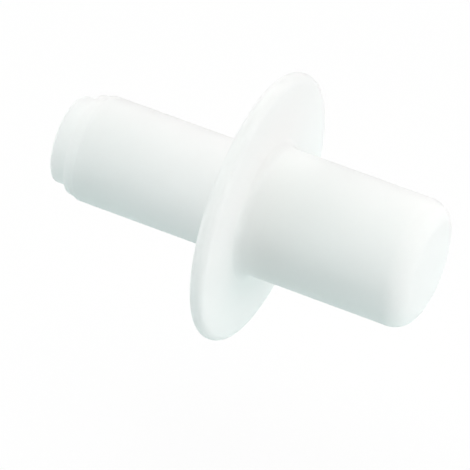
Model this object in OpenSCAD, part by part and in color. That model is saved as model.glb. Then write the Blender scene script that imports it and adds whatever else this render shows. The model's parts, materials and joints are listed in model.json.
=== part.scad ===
// Shelf support pin with two diameters, moulded in one piece.
//
// The thinner shank is pushed into a hole in the cabinet's side panel until the
// collar seats on the panel. The thicker stud stands out of the panel and
// carries the shelf. Every section is round, so the pin is one turned form.
//
// Frame: the origin is the centre of the collar's seating face. The pin's axis
// is X: the stud points along +X, out of the panel, and the shank along -X.

/* [Shank] */
// Diameter of the shank, which is the size of the hole it is pushed into
shank_d = 5; // [3:0.1:8]
// Length from the collar's seating face to the end of the shank's tip
shank_len = 9.1; // [3:0.1:20]

/* [Stepped tip] */
// How far the nub's wall lies inside the shank's wall
nub_inset = 0.45; // [0.2:0.05:1]
// Length of the nub that enters the hole first
nub_len = 0.85; // [0.35:0.05:2]
// Rounding of the nub's end edge
nub_round = 0.15; // [0.05:0.05:0.4]
// How far the step's wall lies inside the shank's wall, at its wide end
step_inset = 0.1; // [0.05:0.05:0.35]
// How much the step's radius shrinks from its wide end to the nub
step_taper = 0.05; // [0.01:0.01:0.1]
// Length of the step behind the nub
step_len = 0.3; // [0.1:0.05:1]
// Length of the cone that widens from the step to the shank
lead_in_len = 0.25; // [0.1:0.05:1]

/* [Collar] */
// Diameter of the collar
collar_d = 12.6; // [9:0.1:20]
// Thickness of the collar
collar_t = 0.7; // [0.7:0.1:4]
// Rounding of the collar's edge on the shank's side
collar_back_round = 0.3; // [0.05:0.05:0.3]
// Rounding of the collar's edge on the stud's side
collar_front_round = 0.35; // [0.05:0.05:0.35]

/* [Stud] */
// Diameter of the stud that carries the shelf
stud_d = 6; // [3:0.1:10]
// Length of the stud from the collar's front face to its end
stud_len = 8.1; // [2:0.1:20]
// Rounding of the stud's end edge
stud_end_round = 1; // [0.1:0.1:1.4]
// Fillet where the stud meets the collar
stud_root_fillet = 0.4; // [0.05:0.05:0.5]

/* [Finish] */
// Colour of the moulded plastic
plastic_colour = "WhiteSmoke"; // [WhiteSmoke, Ivory, Silver, Tan, SaddleBrown]

/* [Hidden] */
$fn = 96;
// How far a cutting shape runs past the faces that it cuts
overcut = 0.1;

// Radii of the round sections
shank_r = shank_d / 2;
nub_r = shank_r - nub_inset;
step_r = shank_r - step_inset;
collar_r = collar_d / 2;
stud_r = stud_d / 2;

// Stations along the pin, counted from the collar's seating face
tip_y = -shank_len;
step_y = tip_y + nub_len;
cone_y = step_y + step_len;
shank_y = cone_y + lead_in_len;
stud_end_y = collar_t + stud_len;

// Half section with sharp corners, from the tip to the stud's end:
// X is the radius and Y runs along the pin
module sharp_section() {
    polygon([
        [0, tip_y],
        [nub_r, tip_y],
        [nub_r, step_y],
        [step_r - step_taper, step_y],
        [step_r, cone_y],
        [shank_r, shank_y],
        [shank_r, 0],
        [collar_r, 0],
        [collar_r, collar_t],
        [stud_r, collar_t],
        [stud_r, stud_end_y],
        [0, stud_end_y]
    ]);
}

// What rounding takes off an outer corner. The arc's centre is the origin, and
// the corner points up the pin, or down it where turn is -90
module corner_waste(radius, turn = 0) {
    rotate(turn)
        difference() {
            square(radius + overcut);
            circle(radius);
        }
}

// What a fillet fills in an inner corner at the origin
module corner_fill(radius) {
    difference() {
        square(radius);
        translate([radius, radius]) circle(radius);
    }
}

// Half section with its edges rounded and the stud's root filleted
module rounded_section() {
    difference() {
        sharp_section();
        translate([nub_r - nub_round, tip_y + nub_round])
            corner_waste(nub_round, -90);
        translate([collar_r - collar_back_round, collar_back_round])
            corner_waste(collar_back_round, -90);
        translate([collar_r - collar_front_round, collar_t - collar_front_round])
            corner_waste(collar_front_round);
        translate([stud_r - stud_end_round, stud_end_y - stud_end_round])
            corner_waste(stud_end_round);
    }
    translate([stud_r, collar_t]) corner_fill(stud_root_fillet);
}

// The whole pin, turned about its axis and laid along X
module shelf_pin() {
    color(plastic_colour)
        rotate([0, 90, 0])
            rotate_extrude()
                rounded_section();
}

shelf_pin();
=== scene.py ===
"""Dresses the moulded shelf support pin: its surface, the studio and the camera."""

import json
import math

import bmesh
import bpy
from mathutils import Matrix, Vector


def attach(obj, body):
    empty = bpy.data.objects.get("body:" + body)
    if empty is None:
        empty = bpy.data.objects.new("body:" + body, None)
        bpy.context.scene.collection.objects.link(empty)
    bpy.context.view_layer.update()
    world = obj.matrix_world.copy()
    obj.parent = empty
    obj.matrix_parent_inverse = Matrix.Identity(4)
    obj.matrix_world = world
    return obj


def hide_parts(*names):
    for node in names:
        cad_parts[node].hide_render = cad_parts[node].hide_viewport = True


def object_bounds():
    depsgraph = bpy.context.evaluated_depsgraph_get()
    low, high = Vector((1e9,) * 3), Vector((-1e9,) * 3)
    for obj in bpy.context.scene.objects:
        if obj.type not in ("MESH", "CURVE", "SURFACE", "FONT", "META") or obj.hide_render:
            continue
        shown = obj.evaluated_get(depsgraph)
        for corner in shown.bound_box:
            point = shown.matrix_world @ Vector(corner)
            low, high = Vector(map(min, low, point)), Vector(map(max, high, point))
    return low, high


bl_info = {
    "name": "Shelf Support Pin",
    "version": (1, 0, 0),
    "blender": (4, 5, 0),
    "location": "3D View > Sidebar > Shelf Pin",
    "description": "Builds a moulded plastic shelf support pin and a small studio for it",
    "category": "Object",
}

MM = 0.001
WHITE = (1, 1, 1, 1)

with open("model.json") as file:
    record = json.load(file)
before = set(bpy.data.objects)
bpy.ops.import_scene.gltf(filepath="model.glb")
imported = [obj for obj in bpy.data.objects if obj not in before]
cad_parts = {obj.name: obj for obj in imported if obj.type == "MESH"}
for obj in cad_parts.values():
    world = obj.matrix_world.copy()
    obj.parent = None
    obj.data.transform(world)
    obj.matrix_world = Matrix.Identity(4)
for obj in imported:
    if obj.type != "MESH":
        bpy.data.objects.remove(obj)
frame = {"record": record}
cad_low, cad_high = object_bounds()
mounts = {mount["name"]: mount for mount in frame["record"]["mounts"]}


def mount_size(name, key):
    """One of a mount's dimensions, in metres."""
    return mounts[name]["dims"][key] * MM


# ---------------------------------------------------------------- settings


def length(name, description, default):
    """A property that holds a length."""
    return bpy.props.FloatProperty(
        name=name, description=description, default=default, unit="LENGTH", precision=5
    )


def angle(name, description, degrees):
    """A property that holds an angle."""
    return bpy.props.FloatProperty(
        name=name, description=description, default=math.radians(degrees), unit="ROTATION"
    )


def colour(name, description, default):
    """A property that holds a colour."""
    return bpy.props.FloatVectorProperty(
        name=name, description=description, default=default, subtype="COLOR", min=0, max=1
    )


class PinSettings(bpy.types.PropertyGroup):
    """Sizes and finish of the moulded pin."""

    shank_radius: length(
        "Shank radius", "Radius of the shank's wall", mount_size("panel_shank", "r_mm")
    )
    shank_wall: length(
        "Shank wall", "Length of the shank's straight wall", mount_size("panel_shank", "length_mm")
    )
    nub_inset: length("Nub inset", "How far the nub's wall lies inside the shank's", 0.45 * MM)
    nub_length: length("Nub length", "Length of the nub at the tip", 0.85 * MM)
    nub_round: length("Nub round", "Rounding of the nub's end edge", 0.15 * MM)
    step_inset: length("Step inset", "How far the step's wall lies inside the shank's", 0.1 * MM)
    step_taper: length("Step taper", "How much the step narrows towards the nub", 0.05 * MM)
    step_length: length("Step length", "Length of the step behind the nub", 0.3 * MM)
    collar_radius: length("Collar radius", "Radius of the collar", cad_high.z)
    collar_thickness: length(
        "Collar thickness", "Thickness of the collar", mounts["collar_front"]["pos_m"][0]
    )
    collar_back_round: length(
        "Collar back round", "Rounding of the collar's edge on the shank's side", 0.3 * MM
    )
    collar_front_round: length(
        "Collar front round", "Rounding of the collar's edge on the stud's side", 0.35 * MM
    )
    stud_radius: length(
        "Stud radius", "Radius of the stud's wall", mount_size("shelf_stud", "r_mm")
    )
    stud_end_round: length("Stud end round", "Rounding of the stud's end edge", 1 * MM)
    stud_root_fillet: length("Stud root fillet", "Fillet where the stud meets the collar", 0.4 * MM)
    softness: length("Softness", "Rounding of the tip's small edges", 0.03 * MM)
    plastic: colour("Plastic", "Colour of the moulded plastic", (0.925, 0.935, 0.925))


class StudioSettings(bpy.types.PropertyGroup):
    """Camera and floor."""

    azimuth: angle("Azimuth", "Turn of the camera round the pin", 26.61)
    elevation: angle("Elevation", "Height of the camera above the horizon", 46.99)
    distance: length("Distance", "From the camera to the point that it looks at", 267 * MM)
    framed_width: length("Framed width", "Width of the view at that distance", 20.942 * MM)
    aim_right: length("Aim right", "Where the view's centre lies right of the collar", -0.729 * MM)
    aim_up: length("Aim up", "Where the view's centre lies above the collar", -1.371 * MM)
    floor_drop: length("Floor drop", "How far the floor lies below the pin", 15 * MM)
    floor: colour(
        "Floor", "Colour of the floor in the light that it throws back", (0.86, 0.994, 0.985)
    )
    floor_shade: bpy.props.FloatProperty(
        name="Floor shade",
        description="How much darker the floor is on the shank's side, towards the camera",
        default=0.13,
        subtype="FACTOR",
        min=0,
        max=1,
    )


# ---------------------------------------------------------------- materials


class Wire:
    """A socket in a material, which Python's operators turn into Math nodes."""

    def __init__(self, shader, socket):
        self.shader = shader
        self.socket = socket

    def math(self, operation, *values):
        """A Math node on these values."""
        return self.shader.node(
            "ShaderNodeMath", {"operation": operation}, dict(enumerate(values))
        )

    def __add__(self, other):
        return self.math("ADD", self, other)

    def __radd__(self, other):
        return self.math("ADD", other, self)

    def __sub__(self, other):
        return self.math("SUBTRACT", self, other)

    def __rsub__(self, other):
        return self.math("SUBTRACT", other, self)

    def __mul__(self, other):
        return self.math("MULTIPLY", self, other)

    def __rmul__(self, other):
        return self.math("MULTIPLY", other, self)


class Shader:
    """The node tree of a material or a world, built one node at a time."""

    def __init__(self, owner):
        owner.use_nodes = True
        self.tree = owner.node_tree
        self.tree.nodes.clear()

    def node(self, kind, settings=None, sockets=None, output=0):
        """Adds a node: its settings first, then the values or wires of its sockets."""
        node = self.tree.nodes.new(kind)
        for name, value in (settings or {}).items():
            setattr(node, name, value)
        for name, value in (sockets or {}).items():
            if isinstance(value, Wire):
                self.tree.links.new(value.socket, node.inputs[name])
            else:
                node.inputs[name].default_value = value
        if not node.outputs:
            return None
        return Wire(self, node.outputs[output])


# the two scales are in noise cells to a metre
CLOUD_SCALE = 450.0
CLOUD_SHARE = 0.06
CLOUD_TONE = 0.8
GRAIN_SCALE = 9000.0
GRAIN_DEPTH = 0.01 * MM
GRAIN_STRENGTH = 0.25
LEAST_ROUGHNESS = 0.55
ROUGHNESS_SPREAD = 0.1
SCATTER_DEPTH = 2.5 * MM


def moulded_plastic(settings):
    """White satin plastic: a faint cloudiness, and the mould's fine grain."""
    material = bpy.data.materials.new("white_moulded_plastic")
    shader = Shader(material)
    place = shader.node("ShaderNodeTexCoord", output="Object")
    cloud = shader.node(
        "ShaderNodeTexNoise", sockets={"Vector": place, "Scale": CLOUD_SCALE, "Detail": 2.0}
    )
    grain = shader.node(
        "ShaderNodeTexNoise", sockets={"Vector": place, "Scale": GRAIN_SCALE, "Detail": 3.0}
    )
    clouded = [channel * CLOUD_TONE for channel in settings.plastic]
    tint = shader.node(
        "ShaderNodeMix",
        {"data_type": "RGBA"},
        {"Factor": cloud * CLOUD_SHARE, "A": (*settings.plastic, 1.0), "B": (*clouded, 1.0)},
        output="Result",
    )
    bump = shader.node(
        "ShaderNodeBump",
        sockets={"Height": grain, "Distance": GRAIN_DEPTH, "Strength": GRAIN_STRENGTH},
    )
    surface = shader.node(
        "ShaderNodeBsdfPrincipled",
        sockets={
            "Base Color": tint,
            "Roughness": LEAST_ROUGHNESS + grain * ROUGHNESS_SPREAD,
            "Normal": bump,
            "IOR": 1.5,
            "Specular IOR Level": 0.1,
            "Subsurface Weight": 1.0,
            "Subsurface Radius": (1.0, 1.0, 1.0),
            "Subsurface Scale": SCATTER_DEPTH,
        },
    )
    shader.node("ShaderNodeOutputMaterial", sockets={"Surface": surface})
    return material


# ---------------------------------------------------------------- the pin

SAME_PLACE = 0.001 * MM
TURN_STEPS = 384


def outline(pin):
    """The pin's half section with sharp corners, as (along, radius) from tip to stud end."""
    nub = pin.shank_radius - pin.nub_inset
    step = pin.shank_radius - pin.step_inset
    step_start = cad_low.x + pin.nub_length
    return [
        (cad_low.x, 0.0),
        (cad_low.x, nub),
        (step_start, nub),
        (step_start, step - pin.step_taper),
        (step_start + pin.step_length, step),
        (-pin.shank_wall, pin.shank_radius),
        (0.0, pin.shank_radius),
        (0.0, pin.collar_radius),
        (pin.collar_thickness, pin.collar_radius),
        (pin.collar_thickness, pin.stud_radius),
        (cad_high.x, pin.stud_radius),
        (cad_high.x, 0.0),
    ]


def turned(points):
    """A closed body turned about X from (along, radius) points that start and end on the axis."""
    body = bmesh.new()
    verts = [body.verts.new((along, 0.0, radius)) for along, radius in points]
    edges = [body.edges.new(pair) for pair in zip(verts, verts[1:])]
    bmesh.ops.spin(
        body,
        geom=verts + edges,
        cent=(0, 0, 0),
        axis=(1, 0, 0),
        angle=math.tau,
        steps=TURN_STEPS,
        use_merge=True,
    )
    bmesh.ops.remove_doubles(body, verts=body.verts, dist=SAME_PLACE)
    bmesh.ops.recalc_face_normals(body, faces=body.faces)
    return body


def round_ring(body, corner, rounding, segments):
    """Rounds the ring of edges at a corner of the outline."""
    along, radius = corner

    def on_ring(vert):
        off = math.hypot(vert.co.y, vert.co.z) - radius
        return abs(vert.co.x - along) < SAME_PLACE and abs(off) < SAME_PLACE

    ring = [edge for edge in body.edges if all(on_ring(vert) for vert in edge.verts)]
    if len(ring) != TURN_STEPS:
        raise RuntimeError(f"no whole ring of edges at {corner}")
    bmesh.ops.bevel(
        body,
        geom=ring,
        offset=rounding,
        offset_type="OFFSET",
        affect="EDGES",
        segments=segments,
        profile=0.5,
        material=-1,
        clamp_overlap=False,
    )


class SHELFPIN_OT_pin(bpy.types.Operator):
    """Turn the moulded pin and give it its plastic"""

    bl_idname = "shelfpin.pin"
    bl_label = "Moulded Pin"

    def execute(self, context):
        pin = context.scene.shelf_pin
        corners = outline(pin)
        body = turned(corners)
        (_, nub_end, nub_root, step_front, step_back, shank_front) = corners[:6]
        (_, collar_back, collar_front, stud_root, stud_end, _) = corners[6:]
        for corner, rounding, segments in (
            (nub_end, pin.nub_round, 6),
            (nub_root, pin.softness, 3),
            (step_front, pin.softness, 3),
            (step_back, pin.softness, 3),
            (shank_front, pin.softness, 3),
            (collar_back, pin.collar_back_round, 12),
            (collar_front, pin.collar_front_round, 12),
            (stud_root, pin.stud_root_fillet, 8),
            (stud_end, pin.stud_end_round, 24),
        ):
            round_ring(body, corner, rounding, segments)
        for face in body.faces:
            face.smooth = True
        mesh = bpy.data.meshes.new("moulded_pin")
        body.to_mesh(mesh)
        body.free()
        piece = bpy.data.objects.new("moulded_pin", mesh)
        context.scene.collection.objects.link(piece)
        weighted = piece.modifiers.new("weighted_normals", "WEIGHTED_NORMAL")
        weighted.weight = 100
        mesh.materials.append(moulded_plastic(pin))
        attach(piece, "root")
        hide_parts("shelf_pin")
        return {"FINISHED"}


# ---------------------------------------------------------------- the studio

SENSOR_WIDTH = 36.0  # mm, as the camera's lens is too


def camera_back(studio):
    """The direction from the pin to the camera."""
    turn, rise = studio.azimuth, studio.elevation
    return Vector(
        (math.sin(turn) * math.cos(rise), -math.cos(turn) * math.cos(rise), math.sin(rise))
    )


def add_camera(scene, studio):
    """The camera, level and without roll."""
    back = camera_back(studio)
    right = Vector((0, 0, 1)).cross(back).normalized()
    up = back.cross(right)
    aim = studio.aim_right * right + studio.aim_up * up
    data = bpy.data.cameras.new("camera")
    data.sensor_width = SENSOR_WIDTH
    data.lens = SENSOR_WIDTH * studio.distance / studio.framed_width
    camera = bpy.data.objects.new("camera", data)
    camera.location = aim + back * studio.distance
    camera.rotation_mode = "QUATERNION"
    camera.rotation_quaternion = back.to_track_quat("Z", "Y")
    scene.collection.objects.link(camera)
    scene.camera = camera


# name, azimuth from +X and elevation in degrees, distance in mm, power in watts, colour
LAMPS = (
    ("overhead", 0, 90, 300, 0.492, (0.969, 1.036, 0.995)),
    ("right", 0, 15, 150, 0.123, (1.035, 0.984, 0.98)),
    ("behind", 90, 15, 300, 0.259, (1.052, 0.958, 0.991)),
    ("behind_left", 135, 15, 300, 0.14, (1.035, 0.984, 0.981)),
    ("left", 180, 30, 300, 0.201, (1.089, 0.952, 0.958)),
    ("left_front", 225, 30, 300, 0.265, (0.942, 1.03, 1.028)),
    ("front_high", 315, 60, 300, 0.025, (0.978, 1.028, 0.994)),
)


def add_lamp(scene, name, turn, rise, distance, power, tint):
    """A square soft lamp that faces the pin, two thirds as wide as its distance."""
    away = Vector(
        (math.cos(rise) * math.cos(turn), math.cos(rise) * math.sin(turn), math.sin(rise))
    )
    data = bpy.data.lights.new(name, "AREA")
    data.shape = "SQUARE"
    data.size = distance * 2 / 3
    data.energy = power
    data.color = tint
    lamp = bpy.data.objects.new(name, data)
    lamp.location = away * distance
    lamp.rotation_mode = "QUATERNION"
    lamp.rotation_quaternion = away.to_track_quat("Z", "Y")
    lamp.visible_camera = False
    scene.collection.objects.link(lamp)


FLOOR_HALF_WIDTH = 400 * MM
FLOOR_BLEND = 20 * MM  # from dark to light, measured as X plus Y
FAR_SIDE = (1, 1, 0)  # away from the shank and the camera
FLOOR_GLOW = 0.9  # the share of the floor's white that needs no lamp


def background_rays(shader):
    """1 for the rays that show the background: from the camera, off gloss or through glass."""
    camera, glossy, through = (
        shader.node("ShaderNodeLightPath", output=rays)
        for rays in ("Is Camera Ray", "Is Glossy Ray", "Is Transmission Ray")
    )
    return shader.node("ShaderNodeClamp", sockets={"Value": camera + glossy + through})


def add_floor(scene, studio):
    """The white floor, which keeps the pin's shadow and throws less light on the shank's side."""
    body = bmesh.new()
    bmesh.ops.create_grid(body, x_segments=1, y_segments=1, size=FLOOR_HALF_WIDTH)
    bmesh.ops.translate(body, verts=body.verts, vec=(0, 0, cad_low.z - studio.floor_drop))
    mesh = bpy.data.meshes.new("floor")
    body.to_mesh(mesh)
    body.free()
    floor = bpy.data.objects.new("floor", mesh)
    scene.collection.objects.link(floor)
    material = bpy.data.materials.new("floor")
    shader = Shader(material)
    seen = background_rays(shader)
    place = shader.node("ShaderNodeTexCoord", output="Object")
    across = shader.node(
        "ShaderNodeVectorMath",
        {"operation": "DOT_PRODUCT"},
        {0: place, 1: FAR_SIDE},
        output="Value",
    )
    near = shader.node("ShaderNodeClamp", sockets={"Value": 0.5 - across * (1 / FLOOR_BLEND)})
    bounce = shader.node(
        "ShaderNodeVectorMath",
        {"operation": "SCALE"},
        {0: studio.floor, "Scale": 1 - near * studio.floor_shade},
    )
    tone = shader.node(
        "ShaderNodeMix",
        {"data_type": "RGBA"},
        {"Factor": seen, "A": bounce, "B": WHITE},
        output="Result",
    )
    matt = shader.node(
        "ShaderNodeBsdfPrincipled",
        sockets={"Base Color": tone, "Roughness": 1.0, "Specular IOR Level": 0.0},
    )
    glow = shader.node("ShaderNodeEmission", sockets={"Color": WHITE, "Strength": 1.0})
    surface = shader.node(
        "ShaderNodeMixShader", sockets={0: seen * FLOOR_GLOW, 1: matt, 2: glow}
    )
    shader.node("ShaderNodeOutputMaterial", sockets={"Surface": surface})
    mesh.materials.append(material)


def add_world(scene):
    """A world that is white where it shows and in reflections, and gives no other light."""
    world = bpy.data.worlds.new("studio")
    scene.world = world
    shader = Shader(world)
    seen = background_rays(shader)
    dark = shader.node("ShaderNodeBackground", sockets={"Strength": 0.0})
    white = shader.node("ShaderNodeBackground", sockets={"Color": WHITE, "Strength": 1.0})
    surface = shader.node("ShaderNodeMixShader", sockets={0: seen, 1: dark, 2: white})
    shader.node("ShaderNodeOutputWorld", sockets={"Surface": surface})


class SHELFPIN_OT_studio(bpy.types.Operator):
    """Set up the floor, the lamps, the world and the camera"""

    bl_idname = "shelfpin.studio"
    bl_label = "Studio"

    def execute(self, context):
        scene = context.scene
        studio = scene.shelf_pin_studio
        scene.view_settings.view_transform = "Standard"
        add_camera(scene, studio)
        add_floor(scene, studio)
        add_world(scene)
        for name, turn, rise, distance, power, tint in LAMPS:
            turn, rise = math.radians(turn), math.radians(rise)
            add_lamp(scene, name, turn, rise, distance * MM, power, tint)
        return {"FINISHED"}


# ---------------------------------------------------------------- the panel


class SHELFPIN_PT_panel(bpy.types.Panel):
    """The sidebar's list of what can be built"""

    bl_idname = "SHELFPIN_PT_panel"
    bl_label = "Shelf Support Pin"
    bl_space_type = "VIEW_3D"
    bl_region_type = "UI"
    bl_category = "Shelf Pin"

    def draw(self, context):
        layout = self.layout
        for settings, operator in (
            (context.scene.shelf_pin, SHELFPIN_OT_pin),
            (context.scene.shelf_pin_studio, SHELFPIN_OT_studio),
        ):
            layout.operator(operator.bl_idname)
            for name in settings.bl_rna.properties.keys():
                if name not in ("rna_type", "name"):
                    layout.prop(settings, name)


CLASSES = (
    PinSettings,
    StudioSettings,
    SHELFPIN_OT_pin,
    SHELFPIN_OT_studio,
    SHELFPIN_PT_panel,
)


def register():
    """Registers the classes and gives each scene its settings."""
    for kind in CLASSES:
        bpy.utils.register_class(kind)
    bpy.types.Scene.shelf_pin = bpy.props.PointerProperty(type=PinSettings)
    bpy.types.Scene.shelf_pin_studio = bpy.props.PointerProperty(type=StudioSettings)


def unregister():
    """Takes the settings and the classes away again."""
    del bpy.types.Scene.shelf_pin_studio
    del bpy.types.Scene.shelf_pin
    for kind in reversed(CLASSES):
        bpy.utils.unregister_class(kind)


def main():
    """Builds the pin and its studio."""
    register()
    bpy.ops.shelfpin.pin()
    bpy.ops.shelfpin.studio()


if __name__ == "__main__":
    main()
